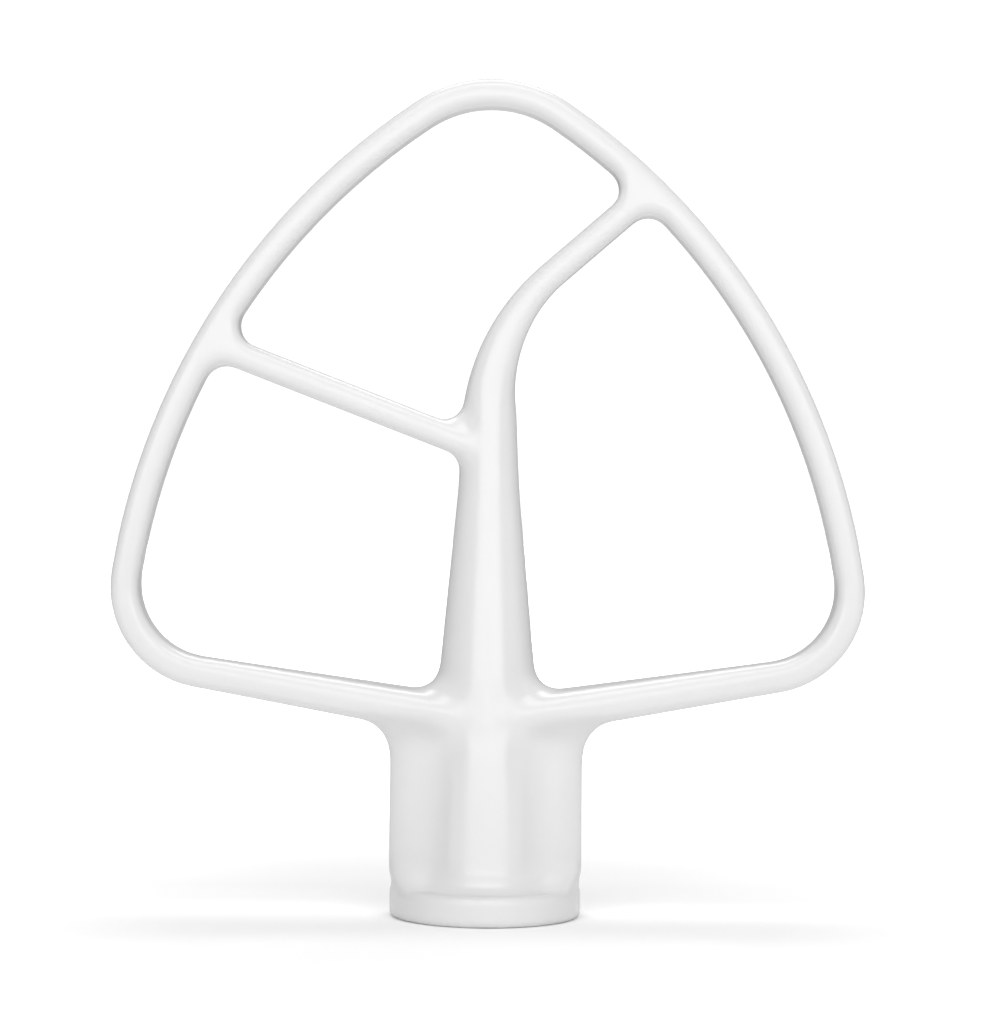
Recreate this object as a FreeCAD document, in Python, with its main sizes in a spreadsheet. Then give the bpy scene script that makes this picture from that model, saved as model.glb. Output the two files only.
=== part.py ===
import FreeCAD, Part
import Sketcher
import math
import os

# Flat beater for a tilt-head stand mixer, standing on the mouth of its hub.
# It is one aluminium die casting under a coat of white nylon powder.
# Z runs up the drive shaft, X across the flat loop and Y through its depth.
# The origin is the middle of the hub's mouth. Lengths are millimetres, angles degrees.

SIZES = [
    ("overall_height", 150.0, "hub mouth to the top of the loop"),
    ("overall_width", 135.1, "across the loop"),
    ("arch_radius", 24.5, "outside of the loop's top"),
    ("side_radius", 125.0, "outside of the loop's long sides"),
    ("corner_radius", 18.2, "outside of the loop's lower corners"),
    ("corner_height", 58.6, "centre of the lower corners above the mouth"),
    ("bar_width", 4.9, "loop bar seen from the front"),
    ("bar_depth", 9.0, "loop bar and branches, front to back"),
    ("bar_rounding", 1.8, "long edges of every bar"),
    ("arm_slope", 9.15, "arms, down towards the hub"),
    ("arm_tip_width", 5.5, "arm seen from the front, at the loop's corner"),
    ("arm_root_width", 7.35, "arm seen from the front, at the stem"),
    ("arm_root_inset", 1.18, "front of the stem to the front of the arm, at the arm's root"),
    ("arm_root_rounding", 3.0, "long edges of the arm, at the stem"),
    ("bend_drop", 59.4, "start of the bend below the top of the loop"),
    ("bend_radius", 33.0, "middle line of the bend"),
    ("bend_turn", 48.9, "how far the bend leans over"),
    ("stem_top_radius", 4.85, "where the stem starts to bend"),
    ("stem_knee_drop", 14.0, "below the bend: from here down the stem widens faster"),
    ("stem_knee_radius", 5.5, "stem at the knee"),
    ("knee_rounding", 60.0, "hollow that softens the knee"),
    ("left_branch_width", 4.85, "seen from the front"),
    ("left_branch_drop", 7.5, "below the bend, where its middle line leaves the stem's axis"),
    ("left_branch_slope", 20.9, "up towards the loop"),
    ("right_branch_width", 4.8, "seen from the front"),
    ("window_corner", 4.0, "hollow corners where a branch meets the loop"),
    ("collar_diameter", 34.3, "round rim of the hub"),
    ("collar_height", 5.4, "round rim of the hub"),
    ("collar_rounding", 0.8, "outer edges of the rim"),
    ("rim_ledge", 4.95, "level top of the rim, round the foot of the stem"),
    ("shoulder_radius", 3.2, "hollow between rim and stem"),
    ("web_overhang", 0.1, "each flat side of the hub stands out over the rim"),
    ("web_foot_inset", 2.55, "each side is drawn in where it sinks into the rim"),
    ("web_foot_rise", 2.6, "start of the web's full width above the rim"),
    ("web_foot_sink", 1.2, "how deep the web's foot runs into the rim"),
    ("web_foot_depth", 16.6, "front to back at the rim"),
    ("web_foot_rounding", 3.0, "upright edges of the web, at its foot"),
    ("web_top_depth", 11.4, "front to back under the arms"),
    ("web_rounding", 3.9, "upright edges of the web"),
    ("web_flare_radius", 6.8, "hollow between web and arm"),
    ("web_flare_turn", 55.0, "how far the hollow turns before it runs into the arm"),
    ("web_flare_sink", 2.5, "how much higher the web runs on inside the arm"),
    ("arm_blend", 4.5, "hollow between arm and stem, above the arm"),
    ("branch_blend", 3.6, "hollow round the left branch at the stem"),
    ("hub_blend", 2.3, "hollow round web, arms and stem below the arms"),
    ("bore_diameter", 12.9, "for a 12.7 mm drive shaft"),
    ("bore_depth", 38.0, "full-diameter part of the bore"),
    ("bore_chamfer", 0.6, "lead-in at the mouth"),
    ("slot_width", 5.0, "bayonet slot for the shaft's cross pin"),
    ("slot_rise", 17.5, "middle line of the slot's level leg above the mouth"),
    ("slot_turn", 30.0, "level leg, round the shaft"),
    ("slot_notch", 2.6, "drop at the end of the level leg"),
]

Vector = FreeCAD.Vector
Y_AXIS = Vector(0, 1, 0)
Z_AXIS = Vector(0, 0, 1)

doc = FreeCAD.newDocument("FlatBeater")
sheet = doc.addObject("Spreadsheet::Sheet", "Size")
for row, (alias, value, note) in enumerate(SIZES, start=1):
    sheet.set("A%d" % row, alias.replace("_", " "))
    sheet.set("B%d" % row, str(value))
    sheet.set("C%d" % row, note)
    sheet.setAlias("B%d" % row, alias)
doc.recompute()


def size(alias):
    """Value of a named size."""
    return float(sheet.get(alias))


def sketch_on(body, name, role, offset=None):
    """Sketch on one of the body's own origin planes, moved by an optional offset."""
    sketch = body.newObject("Sketcher::SketchObject", name)
    plane = [item for item in body.Origin.OriginFeatures if item.Role == role][0]
    sketch.AttachmentSupport = [(plane, "")]
    sketch.MapMode = "FlatFace"
    if offset is not None:
        sketch.AttachmentOffset = offset
    return sketch


def drive(sketch, constraint, name, expression):
    """Add a dimension to a sketch and tie it to the named sizes."""
    index = sketch.addConstraint(constraint)
    sketch.renameConstraint(index, name)
    sketch.setExpression("Constraints." + name, expression)


def flat(x, y):
    """Point in a sketch."""
    return Vector(x, y, 0)


# The loop's outline: one arch, two long sides and two lower corners, all tangent.
# Each long side is the arc that touches both the arch and the corner from inside,
# so its centre lies where two circles about their centres cross.
ARCH_CENTRE = flat(0, size("overall_height") - size("arch_radius"))
CORNER_CENTRE = flat(size("overall_width") / 2 - size("corner_radius"), size("corner_height"))


def side_centre():
    """Centre of the right long side."""
    to_arch = size("side_radius") - size("arch_radius")
    to_corner = size("side_radius") - size("corner_radius")
    across = CORNER_CENTRE - ARCH_CENTRE
    along = across.Length
    foot = (to_arch ** 2 - to_corner ** 2 + along ** 2) / (2 * along)
    rise = math.sqrt(to_arch ** 2 - foot ** 2)
    unit = across / along
    return ARCH_CENTRE + unit * foot + flat(unit.y, -unit.x) * rise


SIDE_CENTRE = side_centre()
ARCH_ANGLE = math.atan2(ARCH_CENTRE.y - SIDE_CENTRE.y, ARCH_CENTRE.x - SIDE_CENTRE.x)


def mirrored(point):
    """The same sketch point on the other side of the upright axis."""
    return flat(-point.x, point.y)


def loop_chain(sketch, inset, corner_centre, corner_radius):
    """Closed outline of the loop, moved inwards by an inset, with lower corners of its own.

    Its straight foot is cut away later.
    """

    def arc(centre, radius, first, last):
        return sketch.addGeometry(Part.ArcOfCircle(Part.Circle(centre, Z_AXIS, radius), first, last), False)

    outwards = corner_centre - SIDE_CENTRE
    side_angle = math.atan2(outwards.y, outwards.x)
    arch = arc(ARCH_CENTRE, size("arch_radius") - inset, ARCH_ANGLE, math.pi - ARCH_ANGLE)
    left = arc(mirrored(SIDE_CENTRE), size("side_radius") - inset, math.pi - ARCH_ANGLE, math.pi - side_angle)
    left_corner = arc(mirrored(corner_centre), corner_radius, math.pi - side_angle, math.pi * 1.5)
    foot_point = corner_centre - flat(0, corner_radius)
    foot = sketch.addGeometry(Part.LineSegment(mirrored(foot_point), foot_point), False)
    right_corner = arc(corner_centre, corner_radius, -math.pi / 2, side_angle)
    right = arc(SIDE_CENTRE, size("side_radius") - inset, side_angle, ARCH_ANGLE)
    chain = [arch, left, left_corner, foot, right_corner, right]
    for one, following in zip(chain, chain[1:] + chain[:1]):
        sketch.addConstraint(Sketcher.Constraint("Tangent", one, 2, following, 1))
    sketch.addConstraint(Sketcher.Constraint("Symmetric", left_corner, 3, right_corner, 3, -2))
    sketch.addConstraint(Sketcher.Constraint("Equal", left, right))
    sketch.addConstraint(Sketcher.Constraint("Equal", left_corner, right_corner))
    return arch, right_corner, right


def draw_loop(sketch, name, inset, inset_rule):
    """The loop's outline with all its arcs moved inwards by the same inset."""
    arch, corner, side = loop_chain(sketch, inset, CORNER_CENTRE, size("corner_radius") - inset)
    sketch.addConstraint(Sketcher.Constraint("PointOnObject", arch, 3, -2))
    drive(sketch, Sketcher.Constraint("DistanceY", -1, 1, arch, 3, ARCH_CENTRE.y),
          name + "_arch_height", "Size.overall_height - Size.arch_radius")
    drive(sketch, Sketcher.Constraint("DistanceY", -1, 1, corner, 3, CORNER_CENTRE.y),
          name + "_corner_height", "Size.corner_height")
    drive(sketch, Sketcher.Constraint("DistanceX", -1, 1, corner, 3, CORNER_CENTRE.x),
          name + "_corner_place", "Size.overall_width / 2 - Size.corner_radius")
    for piece, alias in ((arch, "arch_radius"), (side, "side_radius"), (corner, "corner_radius")):
        drive(sketch, Sketcher.Constraint("Radius", piece, size(alias) - inset),
              name + "_" + alias, "Size.%s - %s" % (alias, inset_rule))
    return arch, corner, side


def draw_inside(sketch, outer):
    """The inside of the loop's bar.

    It keeps the bar's width round the arch and the sides. Its corners have centres a
    little higher, on the line of the bar's end, so that the bar widens towards the arm's
    tip and still ends square.
    """
    outer_arch, outer_corner, outer_side = outer
    to_tip = size("corner_radius") - size("arm_tip_width")
    outwards = CORNER_CENTRE - SIDE_CENTRE
    wider = outwards.Length + size("arm_tip_width") - size("bar_width")
    drop = (wider ** 2 - outwards.Length ** 2) / (2 * (outwards.dot(END_DIRECTION) - wider))
    arch, corner, side = loop_chain(sketch, size("bar_width"), CORNER_CENTRE + END_DIRECTION * drop, to_tip - drop)
    sketch.addConstraint(Sketcher.Constraint("Coincident", arch, 3, outer_arch, 3))
    sketch.addConstraint(Sketcher.Constraint("Coincident", side, 3, outer_side, 3))
    drive(sketch, Sketcher.Constraint("Radius", side, size("side_radius") - size("bar_width")),
          "inner_side_radius", "Size.side_radius - Size.bar_width")
    tip = sketch.addGeometry(Part.LineSegment(CORNER_CENTRE, CORNER_CENTRE + END_DIRECTION * to_tip), True)
    sketch.addConstraint(Sketcher.Constraint("Coincident", tip, 1, outer_corner, 3))
    sketch.addConstraint(Sketcher.Constraint("PointOnObject", tip, 2, corner))
    sketch.addConstraint(Sketcher.Constraint("PointOnObject", corner, 3, tip))
    drive(sketch, Sketcher.Constraint("Distance", tip, 1, tip, 2, to_tip),
          "to_tip", "Size.corner_radius - Size.arm_tip_width")
    drive(sketch, Sketcher.Constraint("Angle", tip, math.pi * 1.5 + SLOPE), "tip_lean", "270 + Size.arm_slope")


def pad_through(body, sketch, name, depth_rule):
    """Pad of a sketch, the same to the front and to the back."""
    pad = body.newObject("PartDesign::Pad", name)
    pad.Profile = sketch
    pad.Midplane = True
    pad.setExpression("Length", depth_rule)
    sketch.Visibility = False
    return pad


# The loop: a flat bar bent round, open at the foot, where the two arms take over.
SLOPE = math.radians(size("arm_slope"))
END_DIRECTION = flat(math.sin(SLOPE), -math.cos(SLOPE))
loop = doc.addObject("PartDesign::Body", "Loop")
loop_outline = sketch_on(loop, "LoopOutline", "XZ_Plane")
draw_inside(loop_outline, draw_loop(loop_outline, "outer", 0.0, "0"))
pad_through(loop, loop_outline, "LoopBar", "Size.bar_depth")

opening = sketch_on(loop, "LoopOpening", "XZ_Plane")
end_line = END_DIRECTION * size("corner_radius") * 2
opening_points = [CORNER_CENTRE, CORNER_CENTRE + end_line,
                  mirrored(CORNER_CENTRE + end_line), mirrored(CORNER_CENTRE)]
opening_lines = [opening.addGeometry(Part.LineSegment(a, b), False)
                 for a, b in zip(opening_points, opening_points[1:] + opening_points[:1])]
right_end, opening_foot, left_end, opening_top = opening_lines
for one, following in zip(opening_lines, opening_lines[1:] + opening_lines[:1]):
    opening.addConstraint(Sketcher.Constraint("Coincident", one, 2, following, 1))
opening.addConstraint(Sketcher.Constraint("Symmetric", opening_top, 1, opening_top, 2, -2))
opening.addConstraint(Sketcher.Constraint("Symmetric", opening_foot, 1, opening_foot, 2, -2))
drive(opening, Sketcher.Constraint("DistanceX", -1, 1, right_end, 1, CORNER_CENTRE.x),
      "place", "Size.overall_width / 2 - Size.corner_radius")
drive(opening, Sketcher.Constraint("DistanceY", -1, 1, right_end, 1, CORNER_CENTRE.y),
      "level", "Size.corner_height")
drive(opening, Sketcher.Constraint("Distance", right_end, 1, right_end, 2, end_line.Length),
      "reach", "Size.corner_radius * 2")
drive(opening, Sketcher.Constraint("Angle", right_end, math.pi * 1.5 + SLOPE),
      "lean", "270 + Size.arm_slope")
cut = loop.newObject("PartDesign::Pocket", "LoopCut")
cut.Profile = opening
cut.Midplane = True
cut.setExpression("Length", "Size.bar_depth * 2")

# Everything inside the middle line of the loop's bar: it trims the branches,
# so that both end within the bar.
loop_filling = doc.addObject("PartDesign::Body", "LoopFilling")
filling_outline = sketch_on(loop_filling, "FillingOutline", "XZ_Plane")
draw_loop(filling_outline, "middle", size("bar_width") / 2, "Size.bar_width / 2")
pad_through(loop_filling, filling_outline, "Filling", "Size.bar_depth * 2")


def straight_branch(name, width_alias, place_rules, lean_rule):
    """Straight bar of the loop's depth from a place in the XZ plane, leaning from the level."""
    body = doc.addObject("PartDesign::Body", name)
    outline = sketch_on(body, name + "Outline", "XZ_Plane")
    half = size(width_alias) / 2
    reach = size("overall_width")
    corners = [flat(0, -half), flat(reach, -half), flat(reach, half), flat(0, half)]
    lines = [outline.addGeometry(Part.LineSegment(a, b), False)
             for a, b in zip(corners, corners[1:] + corners[:1])]
    for one, following in zip(lines, lines[1:] + lines[:1]):
        outline.addConstraint(Sketcher.Constraint("Coincident", one, 2, following, 1))
    outline.addConstraint(Sketcher.Constraint("Vertical", lines[1]))
    outline.addConstraint(Sketcher.Constraint("Vertical", lines[3]))
    outline.addConstraint(Sketcher.Constraint("Symmetric", lines[3], 1, lines[3], 2, -1, 1))
    outline.addConstraint(Sketcher.Constraint("Horizontal", lines[0]))
    outline.addConstraint(Sketcher.Constraint("Horizontal", lines[2]))
    drive(outline, Sketcher.Constraint("DistanceY", lines[1], 1, lines[1], 2, half * 2),
          "across", "Size." + width_alias)
    drive(outline, Sketcher.Constraint("DistanceX", lines[0], 1, lines[0], 2, reach),
          "reach", "Size.overall_width")
    pad_through(body, outline, name + "Bar", "Size.bar_depth")
    body.Placement.Rotation = FreeCAD.Rotation(Vector(0, -1, 0), 1)
    body.setExpression(".Placement.Base.x", place_rules[0])
    body.setExpression(".Placement.Base.z", place_rules[1])
    body.setExpression(".Placement.Rotation.Angle", lean_rule)
    return body


# The left branch rises straight from the stem, the right one straight from the bend's end.
BEND_HEIGHT = size("overall_height") - size("bend_drop")
BEND_RULE = "(Size.overall_height - Size.bend_drop)"
LEFT_BRANCH_HEIGHT = BEND_HEIGHT - size("left_branch_drop")
TURN = math.radians(size("bend_turn"))
BEND_END = Vector(size("bend_radius") * (1 - math.cos(TURN)), 0, BEND_HEIGHT + size("bend_radius") * math.sin(TURN))
left_branch = straight_branch("LeftBranch", "left_branch_width",
                              ("0 mm", "(%s - Size.left_branch_drop) * 1 mm" % BEND_RULE),
                              "(180 - Size.left_branch_slope) * 1 deg")
right_branch = straight_branch("RightBranch", "right_branch_width",
                               ("Size.bend_radius * (1 - cos(Size.bend_turn * 1 deg)) * 1 mm",
                                "(%s + Size.bend_radius * sin(Size.bend_turn * 1 deg)) * 1 mm" % BEND_RULE),
                               "(90 - Size.bend_turn) * 1 deg")
branches = doc.addObject("Part::MultiFuse", "Branches")
branches.Shapes = [left_branch, right_branch]
trimmed = doc.addObject("Part::Common", "BranchesWithinLoop")
trimmed.Base = branches
trimmed.Tool = loop_filling
frame = doc.addObject("Part::MultiFuse", "Frame")
frame.Shapes = [loop, trimmed]
frame.Refine = True
doc.recompute()


def blend(name, base, radius_alias, wanted):
    """Round every edge of the base for which the test holds, with one named radius."""
    shape = base.Shape
    numbers = [n for n, edge in enumerate(shape.Edges, start=1) if wanted(edge, shape)]
    radius = size(radius_alias)
    feature = doc.addObject("Part::Fillet", name)
    feature.Base = base
    feature.Edges = [(n, radius, radius) for n in numbers]
    doc.recompute()
    return feature


def runs_through(edge):
    """True for an edge that runs front to back."""
    return edge.BoundBox.XLength < 1e-6 and edge.BoundBox.ZLength < 1e-6


def at_window_corner(edge, shape):
    """Edge where the flat side of a branch meets the hollow side of the loop."""
    if not runs_through(edge) or edge.CenterOfMass.z < size("corner_height"):
        return False
    kinds = sorted(face.Surface.TypeId for face in shape.ancestorsOfType(edge, Part.Face))
    if kinds != ["Part::GeomCylinder", "Part::GeomPlane"]:
        return False
    spot = flat(edge.CenterOfMass.x, edge.CenterOfMass.z)
    return (spot - ARCH_CENTRE).Length < size("overall_height")


# The four free ends of the frame: two at the arms, two at the stem. Nothing is rounded there.
ARM_MIDDLE = size("corner_radius") - size("arm_tip_width") / 2
ARM_END = CORNER_CENTRE + END_DIRECTION * ARM_MIDDLE
FREE_ENDS = [ARM_END, mirrored(ARM_END), flat(0, LEFT_BRANCH_HEIGHT), flat(BEND_END.x, BEND_END.z)]


def on_front_or_back(edge, shape):
    """Edge in the front or back face of the frame, other than the free ends."""
    level = abs(abs(edge.CenterOfMass.y) - size("bar_depth") / 2) < 1e-6 and edge.BoundBox.YLength < 1e-6
    spot = flat(edge.CenterOfMass.x, edge.CenterOfMass.z)
    return level and all((spot - end).Length > 0.3 for end in FREE_ENDS)


frame_corners = blend("WindowCorners", frame, "window_corner", at_window_corner)
frame_rounded = blend("BarRounding", frame_corners, "bar_rounding", on_front_or_back)


# The hub's rim and the round stem above it are turned about the shaft's axis. The stem
# tapers in two straight runs that meet at a soft knee.
RIM = size("collar_diameter") / 2
RIM_TOP = size("collar_height")
STEM_RUNS = [(RIM_TOP, RIM - size("rim_ledge")),
             (BEND_HEIGHT - size("stem_knee_drop"), size("stem_knee_radius")),
             (BEND_HEIGHT, size("stem_top_radius"))]


def stem_radius(height):
    """Radius of the stem at a height above the mouth."""
    low, high = STEM_RUNS[:2] if height < STEM_RUNS[1][0] else STEM_RUNS[1:]
    share = (height - low[0]) / (high[0] - low[0])
    return low[1] * (1 - share) + high[1] * share


# The knee's arc touches both runs; its centre lies outside the stem.
FOOT, KNEE, STEM_TOP = [flat(radius, height) for height, radius in STEM_RUNS]
run_up, run_on = (KNEE - FOOT).normalize(), (STEM_TOP - KNEE).normalize()
knee_turn = run_up.getAngle(run_on)
knee_reach = size("knee_rounding") * math.tan(knee_turn / 2)
knee_start, knee_end = KNEE - run_up * knee_reach, KNEE + run_on * knee_reach
knee_centre = knee_start + Vector(run_up.y, -run_up.x, 0) * size("knee_rounding")
knee_from = math.atan2(knee_end.y - knee_centre.y, knee_end.x - knee_centre.x)
knee_to = math.atan2(knee_start.y - knee_centre.y, knee_start.x - knee_centre.x) % (2 * math.pi)

hub = doc.addObject("PartDesign::Body", "RimAndStem")
profile = sketch_on(hub, "RimAndStemProfile", "XZ_Plane")


def profile_line(start, end):
    """Straight side of the rim and stem's profile."""
    return profile.addGeometry(Part.LineSegment(start, end), False)


mouth_line = profile_line(flat(0, 0), flat(RIM, 0))
rim_line = profile_line(flat(RIM, 0), flat(RIM, RIM_TOP))
ledge_line = profile_line(flat(RIM, RIM_TOP), FOOT)
lower_stem = profile_line(FOOT, knee_start)
knee_circle = Part.Circle(knee_centre, Z_AXIS, size("knee_rounding"))
knee = profile.addGeometry(Part.ArcOfCircle(knee_circle, knee_from % (2 * math.pi), knee_to), False)
upper_stem = profile_line(knee_end, STEM_TOP)
stem_top_line = profile_line(STEM_TOP, flat(0, BEND_HEIGHT))
axis_line = profile_line(flat(0, BEND_HEIGHT), flat(0, 0))
knee_point = profile.addGeometry(Part.Point(KNEE), True)
for one, following in ((mouth_line, rim_line), (rim_line, ledge_line), (ledge_line, lower_stem),
                       (upper_stem, stem_top_line), (stem_top_line, axis_line), (axis_line, mouth_line)):
    profile.addConstraint(Sketcher.Constraint("Coincident", one, 2, following, 1))
profile.addConstraint(Sketcher.Constraint("Tangent", lower_stem, 2, knee, 2))
profile.addConstraint(Sketcher.Constraint("Tangent", knee, 1, upper_stem, 1))
for run in (lower_stem, upper_stem):
    profile.addConstraint(Sketcher.Constraint("PointOnObject", knee_point, 1, run))
profile.addConstraint(Sketcher.Constraint("Coincident", mouth_line, 1, -1, 1))
for level_line in (mouth_line, ledge_line, stem_top_line):
    profile.addConstraint(Sketcher.Constraint("Horizontal", level_line))
for upright_line in (rim_line, axis_line):
    profile.addConstraint(Sketcher.Constraint("Vertical", upright_line))
drive(profile, Sketcher.Constraint("DistanceX", -1, 1, rim_line, 1, RIM), "rim", "Size.collar_diameter / 2")
drive(profile, Sketcher.Constraint("DistanceY", rim_line, 1, rim_line, 2, RIM_TOP), "rim_top", "Size.collar_height")
drive(profile, Sketcher.Constraint("DistanceX", ledge_line, 2, ledge_line, 1, size("rim_ledge")),
      "ledge", "Size.rim_ledge")
drive(profile, Sketcher.Constraint("DistanceX", -1, 1, knee_point, 1, size("stem_knee_radius")),
      "knee_radius", "Size.stem_knee_radius")
drive(profile, Sketcher.Constraint("DistanceY", knee_point, 1, upper_stem, 2, size("stem_knee_drop")),
      "knee_drop", "Size.stem_knee_drop")
drive(profile, Sketcher.Constraint("Radius", knee, size("knee_rounding")), "knee_rounding", "Size.knee_rounding")
drive(profile, Sketcher.Constraint("DistanceX", -1, 1, upper_stem, 2, size("stem_top_radius")),
      "stem_top_radius", "Size.stem_top_radius")
drive(profile, Sketcher.Constraint("DistanceY", -1, 1, upper_stem, 2, BEND_HEIGHT),
      "stem_top", BEND_RULE)
turned = hub.newObject("PartDesign::Revolution", "RimAndStemTurned")
turned.Profile = profile
turned.ReferenceAxis = (profile, ["V_Axis"])
turned.Angle = 360
doc.recompute()


def round_edges(body, name, radius_alias, wanted):
    """Round the edges of a body's last feature for which the test holds."""
    before = body.Tip
    names = ["Edge%d" % n for n, edge in enumerate(before.Shape.Edges, start=1) if wanted(edge)]
    feature = body.newObject("PartDesign::Fillet", name)
    feature.Base = (before, names)
    feature.setExpression("Radius", "Size." + radius_alias)
    body.Tip = feature
    doc.recompute()
    return feature


def ring_at(edge, radius, height):
    """True for a full circle of this radius and height about the shaft's axis."""
    return (edge.Curve.TypeId == "Part::GeomCircle" and abs(edge.Curve.Radius - radius) < 0.01
            and abs(edge.CenterOfMass.z - height) < 0.01)


round_edges(hub, "Shoulder", "shoulder_radius",
            lambda edge: ring_at(edge, stem_radius(RIM_TOP), RIM_TOP))
round_edges(hub, "RimEdges", "collar_rounding",
            lambda edge: ring_at(edge, RIM, RIM_TOP) or ring_at(edge, RIM, 0))


def rounded_rectangle(sketch, wide, deep, corner, low, rules):
    """Rectangle with four equal round corners, centred on the sketch's upright axis.

    It is wide across, deep upwards and starts at the height low. The rules are the four
    expressions for the same values.
    """
    half = wide / 2
    high = low + deep
    lines = [((half, low + corner), (half, high - corner)), ((half - corner, high), (corner - half, high)),
             ((-half, high - corner), (-half, low + corner)), ((corner - half, low), (half - corner, low))]
    centres = [(half - corner, high - corner), (corner - half, high - corner),
               (corner - half, low + corner), (half - corner, low + corner)]
    chain = []
    for quarter in range(4):
        first, last = lines[quarter]
        chain.append(sketch.addGeometry(Part.LineSegment(flat(*first), flat(*last)), False))
        circle = Part.Circle(flat(*centres[quarter]), Z_AXIS, corner)
        start = quarter * math.pi / 2
        chain.append(sketch.addGeometry(Part.ArcOfCircle(circle, start, start + math.pi / 2), False))
    for one, following in zip(chain, chain[1:] + chain[:1]):
        sketch.addConstraint(Sketcher.Constraint("Tangent", one, 2, following, 1))
    for upright, level in ((chain[0], chain[2]), (chain[4], chain[6])):
        sketch.addConstraint(Sketcher.Constraint("Vertical", upright))
        sketch.addConstraint(Sketcher.Constraint("Horizontal", level))
    for arc in (chain[3], chain[5], chain[7]):
        sketch.addConstraint(Sketcher.Constraint("Equal", chain[1], arc))
    drive(sketch, Sketcher.Constraint("Radius", chain[1], corner), "corner", rules[2])
    drive(sketch, Sketcher.Constraint("DistanceX", chain[4], 1, chain[0], 2, wide), "wide", rules[0])
    drive(sketch, Sketcher.Constraint("DistanceX", -1, 1, chain[0], 2, half), "half", "(%s) / 2" % rules[0])
    drive(sketch, Sketcher.Constraint("DistanceY", chain[6], 1, chain[2], 1, deep), "deep", rules[1])
    drive(sketch, Sketcher.Constraint("DistanceY", -1, 1, chain[6], 1, low), "low", rules[3])


def between(first, last, share):
    """Value and rule a share of the way from one named size to another."""
    value = size(first) * (1 - share) + size(last) * share
    return value, "Size.%s * %.6f + Size.%s * %.6f" % (first, 1 - share, last, share)


# The bend: the stem goes on into the right branch. Its round section flattens on the way
# round to the section of the bar, so its circle is drawn as eight arcs, one for each
# side and each corner of the bar.
SIDE_ARC = math.radians(22)
FRONT_ARC = math.radians(14)
bend = doc.addObject("PartDesign::Body", "Bend")
round_end = sketch_on(bend, "BendStart", "XY_Plane",
                      FreeCAD.Placement(Vector(0, 0, BEND_HEIGHT), FreeCAD.Rotation()))
round_end.setExpression(".AttachmentOffset.Base.z", BEND_RULE + " * 1 mm")
cuts = []
for quarter, part in enumerate((SIDE_ARC, FRONT_ARC, SIDE_ARC, FRONT_ARC)):
    cuts += [quarter * math.pi / 2 - part, quarter * math.pi / 2 + part]
arcs = []
for first, last in zip(cuts, cuts[1:] + [cuts[0] + 2 * math.pi]):
    circle = Part.Circle(flat(0, 0), Z_AXIS, size("stem_top_radius"))
    arcs.append(round_end.addGeometry(Part.ArcOfCircle(circle, first, last), False))
for one, following in zip(arcs, arcs[1:]):
    round_end.addConstraint(Sketcher.Constraint("Coincident", one, 2, following, 1))
round_end.addConstraint(Sketcher.Constraint("Horizontal", arcs[-1], 2, arcs[0], 1))
for arc in arcs:
    round_end.addConstraint(Sketcher.Constraint("Coincident", arc, 3, -1, 1))
drive(round_end, Sketcher.Constraint("Radius", arcs[0], size("stem_top_radius")),
      "radius", "Size.stem_top_radius")

BEND_STATIONS = (0.33, 0.67, 1.0)
ROUND_CORNER = 0.85
bend_sections = []
for number, share in enumerate(BEND_STATIONS, start=1):
    turn = TURN * share
    place = Vector(size("bend_radius") * (1 - math.cos(turn)), 0,
                   BEND_HEIGHT + size("bend_radius") * math.sin(turn))
    section = sketch_on(bend, "BendSection%d" % number, "XY_Plane",
                        FreeCAD.Placement(place, FreeCAD.Rotation(Y_AXIS, math.degrees(turn))))
    angle = "(Size.bend_turn * %.4f * 1 deg)" % share
    section.setExpression(".AttachmentOffset.Base.x", "Size.bend_radius * (1 - cos%s) * 1 mm" % angle)
    section.setExpression(".AttachmentOffset.Base.z",
                          "(%s + Size.bend_radius * sin%s) * 1 mm" % (BEND_RULE, angle))
    section.setExpression(".AttachmentOffset.Rotation.Angle", angle)
    slim = 1 - (1 - share) ** 1.5
    flatten = 1 - (1 - share) ** 2
    half_wide = size("stem_top_radius") * (1 - slim) + size("right_branch_width") / 2 * slim
    wide_rule = "(Size.stem_top_radius * %.6f + Size.right_branch_width * %.6f)" % (2 - 2 * slim, slim)
    half_deep = size("stem_top_radius") * (1 - flatten) + size("bar_depth") / 2 * flatten
    deep_rule = "(Size.stem_top_radius * %.6f + Size.bar_depth * %.6f)" % (2 - 2 * flatten, flatten)
    corner = half_wide * (ROUND_CORNER * (1 - share) + size("bar_rounding") / size("right_branch_width") * 2 * share)
    corner_rule = ("%s / 2 * (%.6f + Size.bar_rounding / Size.right_branch_width * %.6f)"
                   % (wide_rule, ROUND_CORNER * (1 - share), 2 * share))
    rounded_rectangle(section, half_wide * 2, half_deep * 2, corner, -half_deep,
                      (wide_rule, deep_rule, corner_rule, "0 - (%s) / 2" % deep_rule))
    bend_sections.append(section)
bend_loft = bend.newObject("PartDesign::AdditiveLoft", "BendLoft")
bend_loft.Profile = round_end
bend_loft.Sections = bend_sections
doc.recompute()


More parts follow.
